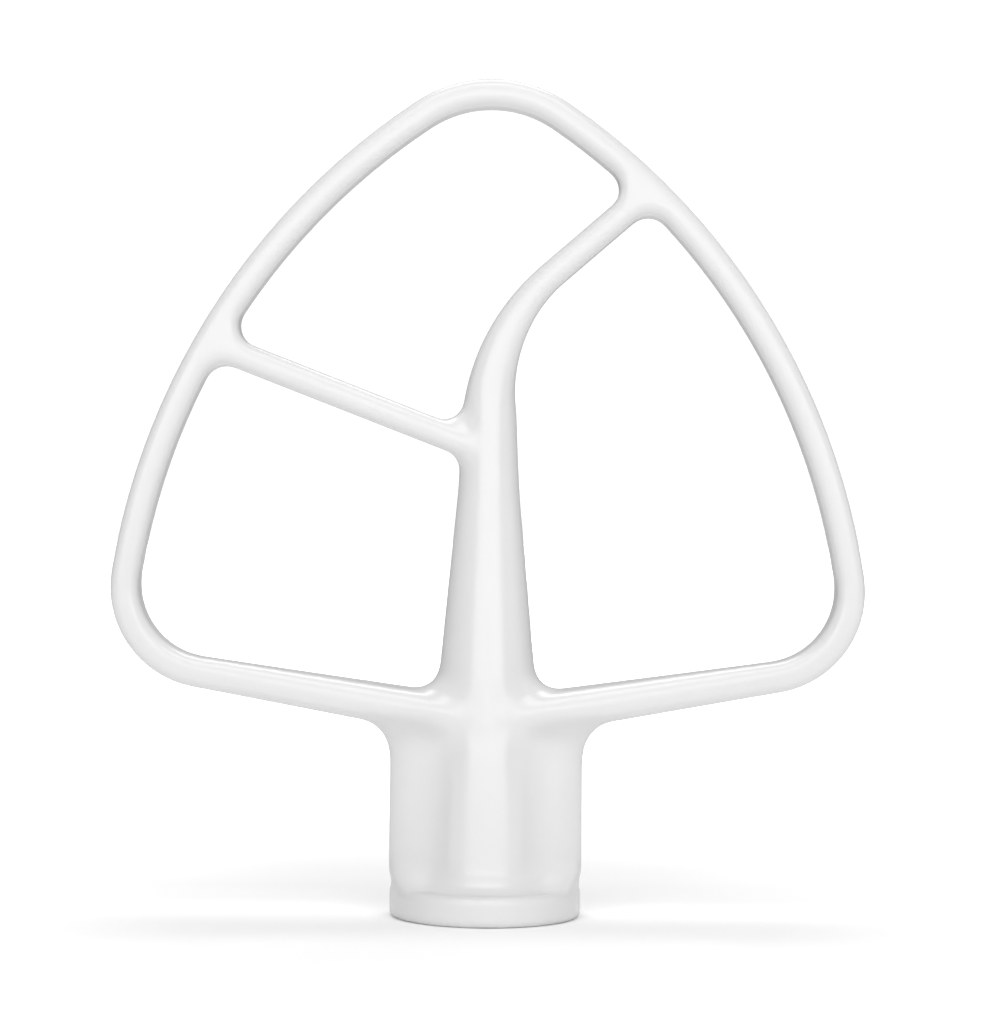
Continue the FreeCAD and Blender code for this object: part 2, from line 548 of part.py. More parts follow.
# The arms: from the loop's two ends down to the stem, growing all the way and most in
# depth, which swells gently at first and most halfway. Each is drawn about the loop's
# corner centre with its length along the local X axis, and the left one is a mirror image.
ARM_STATIONS = 4
arm = doc.addObject("PartDesign::Body", "RightArm")
arm_rule = "(Size.overall_width / 2 - Size.corner_radius) / cos(Size.arm_slope * 1 deg)"
arm_reach = CORNER_CENTRE.x / math.cos(SLOPE)
ROOT_HEIGHT = CORNER_CENTRE.y - arm_reach * math.sin(SLOPE) - ARM_MIDDLE * math.cos(SLOPE)
ROOT_DEPTH = 2 * (stem_radius(ROOT_HEIGHT) - size("arm_root_inset"))
root_height_rule = ("(Size.corner_height - %s * sin(Size.arm_slope * 1 deg)"
                    " - (Size.corner_radius - Size.arm_tip_width / 2) * cos(Size.arm_slope * 1 deg))" % arm_rule)
root_share_rule = ("((%s - Size.collar_height) / (%s - Size.stem_knee_drop - Size.collar_height))"
                   % (root_height_rule, BEND_RULE))
root_depth_rule = ("(2 * ((Size.collar_diameter / 2 - Size.rim_ledge) * (1 - %s) + Size.stem_knee_radius * %s"
                   " - Size.arm_root_inset))" % (root_share_rule, root_share_rule))
arm_sections = []
for station in range(ARM_STATIONS):
    share = station / (ARM_STATIONS - 1)
    swell = share * share * (3 - 2 * share)
    place = FreeCAD.Placement(Vector(0, 0, -arm_reach * share), FreeCAD.Rotation())
    section = sketch_on(arm, "ArmSection%d" % station, "YZ_Plane", place)
    section.setExpression(".AttachmentOffset.Base.z", "%s * %.6f * -1 mm" % (arm_rule, share))
    deep = size("bar_depth") * (1 - swell) + ROOT_DEPTH * swell
    deep_rule = "Size.bar_depth * %.6f + %s * %.6f" % (1 - swell, root_depth_rule, swell)
    wide, wide_rule = between("arm_tip_width", "arm_root_width", share)
    corner, corner_rule = between("bar_rounding", "arm_root_rounding", share)
    rounded_rectangle(section, deep, wide, corner, -ARM_MIDDLE - wide / 2,
                      (deep_rule, wide_rule, corner_rule,
                       "Size.arm_tip_width / 2 - Size.corner_radius - (%s) / 2" % wide_rule))
    arm_sections.append(section)
arm_loft = arm.newObject("PartDesign::AdditiveLoft", "ArmLoft")
arm_loft.Profile = arm_sections[0]
arm_loft.Sections = arm_sections[1:]
arm.Placement.Rotation = FreeCAD.Rotation(Vector(0, -1, 0), 1)
arm.setExpression(".Placement.Base.x", "(Size.overall_width / 2 - Size.corner_radius) * 1 mm")
arm.setExpression(".Placement.Base.z", "Size.corner_height * 1 mm")
arm.setExpression(".Placement.Rotation.Angle", "Size.arm_slope * 1 deg")
left_arm = doc.addObject("Part::Mirroring", "LeftArm")
left_arm.Source = arm
left_arm.Normal = (1, 0, 0)

# The hub's web: flat cheeks either side of the stem, thinner towards the top. Its foot is
# drawn in so that it sinks into the rim, and its top flares out into the arms in an arc
# that touches both.
FLARE = size("web_flare_radius")
WEB_WIDTH = size("collar_diameter") + 2 * size("web_overhang")
WEB_RULE = "(Size.collar_diameter + 2 * Size.web_overhang)"
UNDER_SLOPE = SLOPE + math.atan((size("arm_root_width") - size("arm_tip_width")) / 2 / arm_reach)
lean_rule = "(Size.arm_slope * 1 deg)"
under_rule = "(%s + atan((Size.arm_root_width - Size.arm_tip_width) / 2 / (%s)))" % (lean_rule, arm_rule)

# Height of the arm's underside above the flare's centre, then of the centre itself.
flare_x = WEB_WIDTH / 2 + FLARE
tip_low = CORNER_CENTRE + END_DIRECTION * size("corner_radius")
under_arm = tip_low.y - (tip_low.x - flare_x) * math.tan(UNDER_SLOPE)
under_arm_rule = ("(Size.corner_height - Size.corner_radius * cos%s"
                  " - (Size.overall_width / 2 - Size.corner_radius + Size.corner_radius * sin%s"
                  " - %s / 2 - Size.web_flare_radius) * tan%s)"
                  % (lean_rule, lean_rule, WEB_RULE, under_rule))
flare_z = under_arm - FLARE / math.cos(UNDER_SLOPE)
flare_rule = "(%s - Size.web_flare_radius / cos%s)" % (under_arm_rule, under_rule)

web = doc.addObject("PartDesign::Body", "HubWeb")
web_foot_z = size("collar_height") - size("web_foot_sink")
web_foot_rule = "(Size.collar_height - Size.web_foot_sink)"
web_top_z = flare_z + FLARE
web_top_rule = "(%s + Size.web_flare_radius)" % flare_rule


def web_section(name, width, width_rule, height, height_rule, corner_alias):
    """Level section of the web; its depth falls evenly from the foot to the arms."""
    place = FreeCAD.Placement(Vector(0, 0, height), FreeCAD.Rotation())
    section = sketch_on(web, name, "XY_Plane", place)
    section.setExpression(".AttachmentOffset.Base.z", "%s * 1 mm" % height_rule)
    share = (height - web_foot_z) / (web_top_z - web_foot_z)
    share_rule = "((%s - %s) / (%s - %s))" % (height_rule, web_foot_rule, web_top_rule, web_foot_rule)
    deep = size("web_foot_depth") * (1 - share) + size("web_top_depth") * share
    deep_rule = "Size.web_foot_depth * (1 - %s) + Size.web_top_depth * %s" % (share_rule, share_rule)
    rounded_rectangle(section, width, deep, size(corner_alias), -deep / 2,
                      (width_rule, deep_rule, "Size." + corner_alias, "0 - (%s) / 2" % deep_rule))
    return section


web_foot = web_section("WebFoot", size("collar_diameter") - 2 * size("web_foot_inset"),
                       "Size.collar_diameter - 2 * Size.web_foot_inset",
                       web_foot_z, web_foot_rule, "web_foot_rounding")
web_full = web_section("WebFull", WEB_WIDTH, WEB_RULE, size("collar_height") + size("web_foot_rise"),
                       "(Size.collar_height + Size.web_foot_rise)", "web_rounding")
web_neck = web_section("WebNeck", WEB_WIDTH, WEB_RULE, flare_z, flare_rule, "web_rounding")
lower_web = web.newObject("PartDesign::AdditiveLoft", "LowerWeb")
lower_web.Profile = web_foot
lower_web.Sections = [web_full, web_neck]
lower_web.Ruled = True
web.Tip = lower_web
doc.recompute()

# The flare is drawn at five stations round its arc and runs on straight inside the arm.
FLARE_STATIONS = 5
FLARE_END = math.radians(size("web_flare_turn"))
flare_sections = []
for station in range(FLARE_STATIONS):
    share = station / (FLARE_STATIONS - 1)
    turn = FLARE_END * share
    angle = "(Size.web_flare_turn * %.4f * 1 deg)" % share
    flare_sections.append(web_section(
        "Flare%d" % station,
        WEB_WIDTH + 2 * FLARE * (1 - math.cos(turn)),
        "%s + 2 * Size.web_flare_radius * (1 - cos%s)" % (WEB_RULE, angle),
        flare_z + FLARE * math.sin(turn),
        "(%s + Size.web_flare_radius * sin%s)" % (flare_rule, angle),
        "web_rounding"))
sink = size("web_flare_sink")
angle = "(Size.web_flare_turn * 1 deg)"
flare_sections.append(web_section(
    "FlareTop",
    WEB_WIDTH + 2 * FLARE * (1 - math.cos(FLARE_END)) + 2 * sink * math.tan(FLARE_END),
    "%s + 2 * Size.web_flare_radius * (1 - cos%s) + 2 * Size.web_flare_sink * tan%s" % (WEB_RULE, angle, angle),
    flare_z + FLARE * math.sin(FLARE_END) + sink,
    "(%s + Size.web_flare_radius * sin%s + Size.web_flare_sink)" % (flare_rule, angle),
    "web_rounding"))
upper_web = web.newObject("PartDesign::AdditiveLoft", "UpperWeb")
upper_web.Profile = flare_sections[0]
upper_web.Sections = flare_sections[1:]
web.Tip = upper_web

casting = doc.addObject("Part::MultiFuse", "RawCasting")
casting.Shapes = [hub, web, frame_rounded, bend, arm, left_arm]
casting.Refine = True
doc.recompute()


def on_stem(edge, low, high):
    """Edge that lies on the round stem between two heights."""
    span = edge.LastParameter - edge.FirstParameter
    points = [edge.valueAt(edge.FirstParameter + span * quarter / 4) for quarter in range(5)]
    return all(low < point.z < high and abs(math.hypot(point.x, point.y) - stem_radius(point.z)) < 0.06
               for point in points)


def is_turned(face):
    """Face of the rim, its shoulder or the stem, all turned about the shaft's axis."""
    surface = face.Surface
    if surface.TypeId == "Part::GeomToroid":
        return True
    if surface.TypeId == "Part::GeomCone":
        return abs(surface.Apex.x) < 1e-6 and abs(surface.Apex.y) < 1e-6 and abs(surface.Axis.z) > 0.999
    level = surface.TypeId == "Part::GeomPlane" and abs(surface.Axis.z) > 0.999
    return level and abs(face.CenterOfMass.z - RIM_TOP) < 1e-6


def leaves_turned(edge, shape):
    """Edge with a turned face on one side and any other face on the other."""
    return sorted(is_turned(face) for face in shape.ancestorsOfType(edge, Part.Face)) == [False, True]


# Height of the arm's middle line where it enters the stem.
ARM_AT_STEM = ARM_END.y - (ARM_END.x - stem_radius(size("corner_height") / 2)) * math.tan(SLOPE)


def above_arm(edge, shape):
    """Edge between stem and arm, above the arm's middle."""
    middle = (ARM_AT_STEM + LEFT_BRANCH_HEIGHT) / 2
    return on_stem(edge, ARM_AT_STEM - size("arm_root_width"), middle) and edge.CenterOfMass.z > ARM_AT_STEM + 1


def round_branch(edge, shape):
    """Edge between the stem and the left branch."""
    middle = (ARM_AT_STEM + LEFT_BRANCH_HEIGHT) / 2
    return on_stem(edge, middle, BEND_HEIGHT - 0.3) and leaves_turned(edge, shape)


def below_arm(edge, shape):
    """Edge where web or arm meets the turned part of the hub, under the arm's middle."""
    in_reach = RIM_TOP - 1 < edge.CenterOfMass.z < ARM_AT_STEM + 1
    return in_reach and edge.Curve.TypeId != "Part::GeomCircle" and leaves_turned(edge, shape)


# The melted hollows of the casting, from the loop's side of the hub to its foot.
arm_blends = blend("ArmBlends", casting, "arm_blend", above_arm)
branch_blends = blend("BranchBlend", arm_blends, "branch_blend", round_branch)
hub_blends = blend("HubBlends", branch_blends, "hub_blend", below_arm)

# The finished beater: the casting with the shaft's bore and the bayonet slot cut into it.
beater = doc.addObject("PartDesign::Body", "FlatBeater")
beater.Label = "flat_beater"
beater.BaseFeature = hub_blends
doc.recompute()

bore = sketch_on(beater, "BoreProfile", "XZ_Plane")
bore_radius = size("bore_diameter") / 2
drill_point = bore_radius / math.sqrt(3)
bore_points = [flat(0, 0), flat(bore_radius + size("bore_chamfer"), 0), flat(bore_radius, size("bore_chamfer")),
               flat(bore_radius, size("bore_depth")), flat(0, size("bore_depth") + drill_point)]
bore_lines = [bore.addGeometry(Part.LineSegment(a, b), False)
              for a, b in zip(bore_points, bore_points[1:] + bore_points[:1])]
mouth, lead_in, wall, point, middle_line = bore_lines
for one, following in zip(bore_lines, bore_lines[1:] + bore_lines[:1]):
    bore.addConstraint(Sketcher.Constraint("Coincident", one, 2, following, 1))
bore.addConstraint(Sketcher.Constraint("Coincident", mouth, 1, -1, 1))
bore.addConstraint(Sketcher.Constraint("Horizontal", mouth))
bore.addConstraint(Sketcher.Constraint("Vertical", wall))
bore.addConstraint(Sketcher.Constraint("Vertical", middle_line))
drive(bore, Sketcher.Constraint("DistanceX", -1, 1, wall, 1, bore_radius), "radius", "Size.bore_diameter / 2")
drive(bore, Sketcher.Constraint("DistanceX", lead_in, 2, lead_in, 1, size("bore_chamfer")),
      "lead_across", "Size.bore_chamfer")
drive(bore, Sketcher.Constraint("DistanceY", lead_in, 1, lead_in, 2, size("bore_chamfer")),
      "lead_up", "Size.bore_chamfer")
drive(bore, Sketcher.Constraint("DistanceY", -1, 1, wall, 2, size("bore_depth")), "top", "Size.bore_depth")
drive(bore, Sketcher.Constraint("DistanceY", point, 1, point, 2, drill_point),
      "point", "Size.bore_diameter / 2 / sqrt(3)")
bored = beater.newObject("PartDesign::Groove", "Bore")
bored.Profile = bore
bored.ReferenceAxis = (bore, ["V_Axis"])
bored.Angle = 360
doc.recompute()


def pin_way(name, turn, turn_rule, low, low_rule):
    """Upright round-ended slot through the back wall, up to the level leg, at a turn round the shaft."""
    place = FreeCAD.Placement(Vector(0, 0, 0), FreeCAD.Rotation(Y_AXIS, turn))
    outline = sketch_on(beater, name + "Outline", "XZ_Plane", place)
    outline.setExpression(".AttachmentOffset.Rotation.Angle", turn_rule)
    half = size("slot_width") / 2
    high = size("slot_rise")
    left = outline.addGeometry(Part.LineSegment(flat(-half, high), flat(-half, low)), False)
    low_circle = Part.Circle(flat(0, low), Z_AXIS, half)
    low_end = outline.addGeometry(Part.ArcOfCircle(low_circle, math.pi, 2 * math.pi), False)
    right = outline.addGeometry(Part.LineSegment(flat(half, low), flat(half, high)), False)
    high_circle = Part.Circle(flat(0, high), Z_AXIS, half)
    high_end = outline.addGeometry(Part.ArcOfCircle(high_circle, 0, math.pi), False)
    chain = [left, low_end, right, high_end]
    for one, following in zip(chain, chain[1:] + chain[:1]):
        outline.addConstraint(Sketcher.Constraint("Tangent", one, 2, following, 1))
    outline.addConstraint(Sketcher.Constraint("PointOnObject", low_end, 3, -2))
    outline.addConstraint(Sketcher.Constraint("PointOnObject", high_end, 3, -2))
    outline.addConstraint(Sketcher.Constraint("Equal", low_end, high_end))
    drive(outline, Sketcher.Constraint("Radius", high_end, half), "half", "Size.slot_width / 2")
    drive(outline, Sketcher.Constraint("DistanceY", -1, 1, high_end, 3, high), "high", "Size.slot_rise")
    drive(outline, Sketcher.Constraint("DistanceY", -1, 1, low_end, 3, low), "low", low_rule)
    feature = beater.newObject("PartDesign::Pocket", name)
    feature.Profile = outline
    feature.setExpression("Length", "Size.collar_diameter")
    doc.recompute()
    return feature


pin_way("PinEntry", 0, "0 deg", -size("slot_width"), "0 - Size.slot_width")

# The level leg turns from the back of the hub towards the left.
level_leg = sketch_on(beater, "LevelLegOutline", "YZ_Plane")
half_slot = size("slot_width") / 2
inside = bore_radius / 2
outside = size("collar_diameter")
leg_points = [flat(inside, size("slot_rise") - half_slot), flat(outside, size("slot_rise") - half_slot),
              flat(outside, size("slot_rise") + half_slot), flat(inside, size("slot_rise") + half_slot)]
leg_lines = [level_leg.addGeometry(Part.LineSegment(a, b), False)
             for a, b in zip(leg_points, leg_points[1:] + leg_points[:1])]
for one, following in zip(leg_lines, leg_lines[1:] + leg_lines[:1]):
    level_leg.addConstraint(Sketcher.Constraint("Coincident", one, 2, following, 1))
for number, line in enumerate(leg_lines):
    level_leg.addConstraint(Sketcher.Constraint(("Horizontal", "Vertical")[number % 2], line))
drive(level_leg, Sketcher.Constraint("DistanceX", -1, 1, leg_lines[0], 1, inside), "inside", "Size.bore_diameter / 4")
drive(level_leg, Sketcher.Constraint("DistanceX", -1, 1, leg_lines[0], 2, outside), "outside", "Size.collar_diameter")
drive(level_leg, Sketcher.Constraint("DistanceY", -1, 1, leg_lines[0], 1, size("slot_rise") - half_slot),
      "low", "Size.slot_rise - Size.slot_width / 2")
drive(level_leg, Sketcher.Constraint("DistanceY", leg_lines[1], 1, leg_lines[1], 2, size("slot_width")),
      "high", "Size.slot_width")
turn_cut = beater.newObject("PartDesign::Groove", "LevelLeg")
turn_cut.Profile = level_leg
turn_cut.ReferenceAxis = (level_leg, ["V_Axis"])
turn_cut.setExpression("Angle", "Size.slot_turn")
doc.recompute()

pin_way("PinSeat", size("slot_turn"), "Size.slot_turn * 1 deg", size("slot_rise") - size("slot_notch"),
        "Size.slot_rise - Size.slot_notch")

# Each cut of the beater has to take metal away, and every object has to be sound.
cuts_made = [hub_blends.Shape.Volume] + [feature.Shape.Volume for feature in beater.Group
                                         if feature.TypeId in ("PartDesign::Groove", "PartDesign::Pocket")]
assert all(after < before - 10 for before, after in zip(cuts_made, cuts_made[1:])), cuts_made
for item in doc.Objects:
    assert "Invalid" not in item.State and "Error" not in item.State, (item.Name, item.State)
assert not beater.Shape.isNull() and beater.Shape.isValid() and len(beater.Shape.Solids) == 1

os.makedirs("parts", exist_ok=True)
beater.Shape.exportStep("parts/%s.step" % beater.Label)
print("%s: %.0f cubic millimetres, %d faces" % (beater.Label, beater.Shape.Volume, len(beater.Shape.Faces)))
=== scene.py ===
import math
import bpy
import numpy as np
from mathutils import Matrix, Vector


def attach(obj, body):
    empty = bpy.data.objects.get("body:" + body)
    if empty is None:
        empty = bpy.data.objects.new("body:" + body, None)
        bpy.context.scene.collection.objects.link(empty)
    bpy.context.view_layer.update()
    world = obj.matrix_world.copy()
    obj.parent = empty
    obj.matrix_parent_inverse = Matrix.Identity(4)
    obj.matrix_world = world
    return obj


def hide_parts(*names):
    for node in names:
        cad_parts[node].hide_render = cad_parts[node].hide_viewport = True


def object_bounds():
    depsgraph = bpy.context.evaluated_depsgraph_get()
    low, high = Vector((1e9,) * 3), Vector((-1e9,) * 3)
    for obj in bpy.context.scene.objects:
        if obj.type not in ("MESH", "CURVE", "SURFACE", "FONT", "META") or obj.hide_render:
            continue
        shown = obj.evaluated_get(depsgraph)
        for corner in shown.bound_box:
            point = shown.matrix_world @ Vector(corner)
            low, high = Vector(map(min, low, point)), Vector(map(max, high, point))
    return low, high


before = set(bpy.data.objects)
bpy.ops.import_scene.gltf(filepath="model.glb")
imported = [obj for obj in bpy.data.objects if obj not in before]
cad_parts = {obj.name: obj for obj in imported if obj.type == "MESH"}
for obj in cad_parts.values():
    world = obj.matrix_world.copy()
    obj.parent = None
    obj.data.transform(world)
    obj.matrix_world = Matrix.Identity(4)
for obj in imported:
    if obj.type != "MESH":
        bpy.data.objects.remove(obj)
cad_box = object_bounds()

# The beater: one aluminium die casting. A coat of white nylon powder covers all of
# it but the bore, which is reamed bare to fit the drive shaft.
# It is sprayed on hot, so it melts smooth, softens the edges and fills the hollows.
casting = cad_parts["flat_beater"]

# Sizes of the skin, in metres: its mesh, the cheeks beside the stem, which slope back
# towards the hub's sides, and the part of the casting whose hollows are softened.
# A pair of sizes says where a change sets in and where it is complete.
CELL = 0.00055
CHEEK_ACROSS = (0.0065, 0.0172)
CHEEK_FOOT = (0.0060, 0.0100)
CHEEK_TOP = (0.0310, 0.0370)
CHEEK_SLOPE = 0.5
HUB_FOOT = (0.0050, 0.0075)
HUB_TOP = (0.0480, 0.0560)
HUB_SIDE = (0.0300, 0.0400)
BORE_KEEP = (0.0069, 0.0078)
BORE_TOP = 0.0430
SLOT_X = (-0.0115, 0.0045)
SLOT_TOP = 0.0215

# The flow of the melted coat: its steps, and the share of the way to the neighbours'
# middle that a point goes in each, out of a hollow, down from a ridge and sideways.
EVEN_STEPS = 5
EVEN_SHARE = 0.35
FILL_STEPS = 45
OUTWARD_SHARE = 0.6
INWARD_SHARE = 0.05
SIDEWAYS_SHARE = 0.3
TINY = 1e-12


def ease(value, low, high):
    """3t^2 - 2t^3 with t = (value - low) / (high - low), held between 0 and 1."""
    share = np.clip((value - low) / (high - low), 0, 1)
    return share * share * (3 - 2 * share)


def even_skin(piece, name):
    """Mesh of square cells over the piece's surface: its points and its four-sided faces."""
    rough = bpy.data.objects.new(name, piece.data.copy())
    rough.matrix_world = piece.matrix_world
    rough.data.transform(piece.matrix_world)
    rough.matrix_world.identity()
    bpy.context.scene.collection.objects.link(rough)
    cells = rough.modifiers.new("cells", "REMESH")
    cells.mode, cells.voxel_size, cells.adaptivity = "VOXEL", CELL, 0.0
    graph = bpy.context.evaluated_depsgraph_get()
    mesh = bpy.data.meshes.new_from_object(rough.evaluated_get(graph))
    bpy.data.objects.remove(rough)
    points = np.empty(len(mesh.vertices) * 3, np.float32)
    mesh.vertices.foreach_get("co", points)
    corners = np.empty(len(mesh.loops), np.int32)
    mesh.loops.foreach_get("vertex_index", corners)
    return points.reshape(-1, 3).astype(float), corners.reshape(-1, 4)


def normals_of(points, faces):
    """Unit normals at the points: the sum of the faces' own, (c - a) x (d - b)."""
    a, b, c, d = (points[faces[:, k]] for k in range(4))
    own = np.cross(c - a, d - b)
    total = np.zeros_like(points)
    for axis in range(3):
        total[:, axis] = np.bincount(faces.ravel(), np.repeat(own[:, axis], 4), len(points))
    return total / np.maximum(np.linalg.norm(total, axis=1), TINY)[:, None]


def to_neighbours(points, faces, count):
    """From each point to the middle of its neighbours along the faces' edges."""
    start, end = faces.ravel(), np.roll(faces, -1, axis=1).ravel()
    total = np.stack([np.bincount(start, points[end, k], len(points))
                      + np.bincount(end, points[start, k], len(points)) for k in range(3)], axis=-1)
    return total / count[:, None] - points


def filled(points, faces, amount, steps, outward, inward):
    """Surface after some steps of flow, each p + n (n.v) k + (v - n (n.v)) s.

    Here v leads to the neighbours' middle and n is the normal. The share k is larger where
    v leads out of the metal, in a hollow, than on a ridge, and s slides the point sideways.
    """
    count = 2.0 * np.bincount(faces.ravel(), minlength=len(points))
    for _ in range(steps):
        normal = normals_of(points, faces)
        move = to_neighbours(points, faces, count)
        along = (move * normal).sum(axis=1)
        share = np.where(along > 0, outward, inward)
        sideways = (move - normal * along[:, None]) * SIDEWAYS_SHARE
        points = points + normal * (along * share * amount)[:, None] + sideways
    return points


skin, cells = even_skin(casting, "rough_skin")
skin = filled(skin, cells, np.ones(len(skin)), EVEN_STEPS, EVEN_SHARE, EVEN_SHARE)
x, y, z = skin.T
in_cheek = ease(z, *CHEEK_FOOT) * (1 - ease(z, *CHEEK_TOP))
slope = np.clip((np.abs(x) - CHEEK_ACROSS[0]) / (CHEEK_ACROSS[1] - CHEEK_ACROSS[0]), 0, 1)
skin[:, 1] = y * (1 - CHEEK_SLOPE * slope * in_cheek)
in_hub = ease(z, *HUB_FOOT) * (1 - ease(z, *HUB_TOP)) * (1 - ease(np.abs(x), *HUB_SIDE))
off_bore = np.where(z < BORE_TOP, ease(np.hypot(x, y), *BORE_KEEP), 1)
at_slot = (x > SLOT_X[0]) & (x < SLOT_X[1]) & (y > 0) & (z < SLOT_TOP)
flowing = in_hub * off_bore * ~at_slot
skin = filled(skin, cells, flowing, FILL_STEPS, OUTWARD_SHARE, INWARD_SHARE)
skin = np.clip(skin, *np.array(cad_box))
skin_mesh = bpy.data.meshes.new("beater_skin")
skin_mesh.from_pydata(skin.tolist(), [], cells.tolist())
skin_mesh.polygons.foreach_set("use_smooth", np.ones(len(cells), bool))
beater = bpy.data.objects.new("beater_skin", skin_mesh)
bpy.context.scene.collection.objects.link(beater)
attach(beater, "root")
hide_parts("flat_beater")

# Sizes of the finish, in metres: where the coat ends in the bore, how far apart its
# waves and grains and the reamer's grooves lie, and how deep the relief is.
BORE_RADIUS = 0.00645
BORE_END = 0.0418
COAT_EDGE = 0.00012
CLOUD_LENGTH = 0.03
WAVE_LENGTH = 0.0021
GRAIN_LENGTH = 0.00035
GRAIN_SHARE = 0.15
REAMED_GROOVE = 0.00045
RELIEF_DEPTH = 0.00003
RELIEF_STRENGTH = 0.3

# Roughness from the glossiest to the dullest spots of the coat, and in the bore.
COAT_ROUGHNESS = (0.20, 0.28)
REAMED_ROUGHNESS = 0.34
NYLON_IOR = 1.6

# A wave texture of scale 1 turns by this many radians in a metre.
WAVE_TURN = 20


def linear(hex_colour):
    """Linear colour of an sRGB hex string: up to 0.04045 a share of 1/12.92, above it a power of 2.4."""
    parts = np.array([int(hex_colour[i:i + 2], 16) for i in (1, 3, 5)]) / 255
    light = np.where(parts <= 0.04045, parts / 12.92, ((parts + 0.055) / 1.055) ** 2.4)
    return (*light.tolist(), 1.0)


def add_node(tree, kind, settings=None, values=None, links=None):
    """A node of a kind, with its settings, its sockets' values and the outputs linked to them."""
    node = tree.nodes.new(kind)
    for name, value in (settings or {}).items():
        setattr(node, name, value)
    for name, value in (values or {}).items():
        node.inputs[name].default_value = value
    for name, output in (links or {}).items():
        tree.links.new(output, node.inputs[name])
    return node


# Nylon 11 powder coat over the casting, semi-gloss. It flows out as it melts but keeps
# long shallow waves 2 mm apart and a faint grain, so highlights have soft, wavering edges.
# In the bore: reamed aluminium, grey, with fine rings round the shaft's axis.
coat = bpy.data.materials.new("white_nylon_powder_coat")
coat.use_nodes = True
tree = coat.node_tree
tree.nodes.clear()
place = add_node(tree, "ShaderNodeTexCoord").outputs["Object"]
axes = add_node(tree, "ShaderNodeSeparateXYZ", links={"Vector": place})
flat_place = add_node(tree, "ShaderNodeVectorMath", {"operation": "MULTIPLY"}, {1: (1, 1, 0)},
                      {0: place})
from_axis = add_node(tree, "ShaderNodeVectorMath", {"operation": "LENGTH"},
                     links={0: flat_place.outputs["Vector"]})
in_bore = add_node(tree, "ShaderNodeMapRange", {"interpolation_type": "SMOOTHSTEP"},
                   {"From Min": BORE_RADIUS + COAT_EDGE, "From Max": BORE_RADIUS + COAT_EDGE * 3,
                    "To Min": 1, "To Max": 0},
                   {"Value": from_axis.outputs["Value"]})
under_end = add_node(tree, "ShaderNodeMath", {"operation": "LESS_THAN"}, {1: BORE_END},
                     {0: axes.outputs["Z"]})
bare = add_node(tree, "ShaderNodeMath", {"operation": "MULTIPLY"},
                links={0: in_bore.outputs["Result"], 1: under_end.outputs["Value"]})
cloud = add_node(tree, "ShaderNodeTexNoise", values={"Scale": 1 / CLOUD_LENGTH, "Detail": 2.0},
                 links={"Vector": place})
tint = add_node(tree, "ShaderNodeMix", {"data_type": "RGBA"},
                {"A": linear("#DFDFDF"), "B": linear("#E5E5E5")},
                {"Factor": cloud.outputs["Fac"]})
colour = add_node(tree, "ShaderNodeMix", {"data_type": "RGBA"}, {"B": linear("#B4B5B6")},
                  {"Factor": bare.outputs["Value"], "A": tint.outputs["Result"]})
waves = add_node(tree, "ShaderNodeTexNoise", values={"Scale": 1 / WAVE_LENGTH, "Detail": 1.0},
                 links={"Vector": place})
grain = add_node(tree, "ShaderNodeTexNoise", values={"Scale": 1 / GRAIN_LENGTH, "Detail": 1.0},
                 links={"Vector": place})
rings = add_node(tree, "ShaderNodeTexWave",
                 {"wave_type": "BANDS", "bands_direction": "Z", "wave_profile": "SIN"},
                 {"Scale": 1 / (WAVE_TURN * REAMED_GROOVE / 2 / math.pi), "Distortion": 1.5,
                  "Detail": 2.0},
                 {"Vector": place})
coat_height = add_node(tree, "ShaderNodeMath", {"operation": "MULTIPLY_ADD"}, {1: GRAIN_SHARE},
                       {0: grain.outputs["Fac"], 2: waves.outputs["Fac"]})
height = add_node(tree, "ShaderNodeMix", {"data_type": "FLOAT"},
                  links={"Factor": bare.outputs["Value"], "A": coat_height.outputs["Value"],
                         "B": rings.outputs["Fac"]})
bump = add_node(tree, "ShaderNodeBump",
                values={"Strength": RELIEF_STRENGTH, "Distance": RELIEF_DEPTH},
                links={"Height": height.outputs["Result"]})
dull = add_node(tree, "ShaderNodeMapRange",
                values={"To Min": COAT_ROUGHNESS[0], "To Max": COAT_ROUGHNESS[1]},
                links={"Value": cloud.outputs["Fac"]})
rough = add_node(tree, "ShaderNodeMix", {"data_type": "FLOAT"}, {"B": REAMED_ROUGHNESS},
                 {"Factor": bare.outputs["Value"], "A": dull.outputs["Result"]})
surface = add_node(tree, "ShaderNodeBsdfPrincipled", values={"IOR": NYLON_IOR},
                   links={"Base Color": colour.outputs["Result"], "Metallic": bare.outputs["Value"],
                          "Roughness": rough.outputs["Result"], "Normal": bump.outputs["Normal"]})
add_node(tree, "ShaderNodeOutputMaterial", links={"Surface": surface.outputs["BSDF"]})
skin_mesh.materials.append(coat)

# The floor: a wide pale sheet of matt paper, level with the mouth of the hub.
# It is a round grid whose rings spread outwards, so it has no visible edge. The camera
# sees it lifted a little near the hub and white further out, past the lamps' reach.
FLOOR_RADIUS = 6.0
FLOOR_RINGS = 24
FLOOR_STEPS = 96
RING_POWER = 3
FLOOR_LIFT = (0.12, 1.2)
LIFT_SPREAD = (0.05, 0.35)
ring, step = np.meshgrid(np.arange(FLOOR_RINGS), np.arange(FLOOR_STEPS), indexing="ij")
spread = FLOOR_RADIUS * ((ring + 1) / FLOOR_RINGS) ** RING_POWER
turn = step * 2 * math.pi / FLOOR_STEPS
points = np.stack([spread * np.cos(turn), spread * np.sin(turn), np.zeros_like(turn)], axis=-1)
inner = (ring * FLOOR_STEPS + step)[:-1]
following = (ring * FLOOR_STEPS + (step + 1) % FLOOR_STEPS)[:-1]
quads = np.stack([inner, inner + FLOOR_STEPS, following + FLOOR_STEPS, following], axis=-1)
middle = [list(range(FLOOR_STEPS))]
floor_mesh = bpy.data.meshes.new("paper_floor")
floor_mesh.from_pydata(points.reshape(-1, 3).tolist(), [], quads.reshape(-1, 4).tolist() + middle)
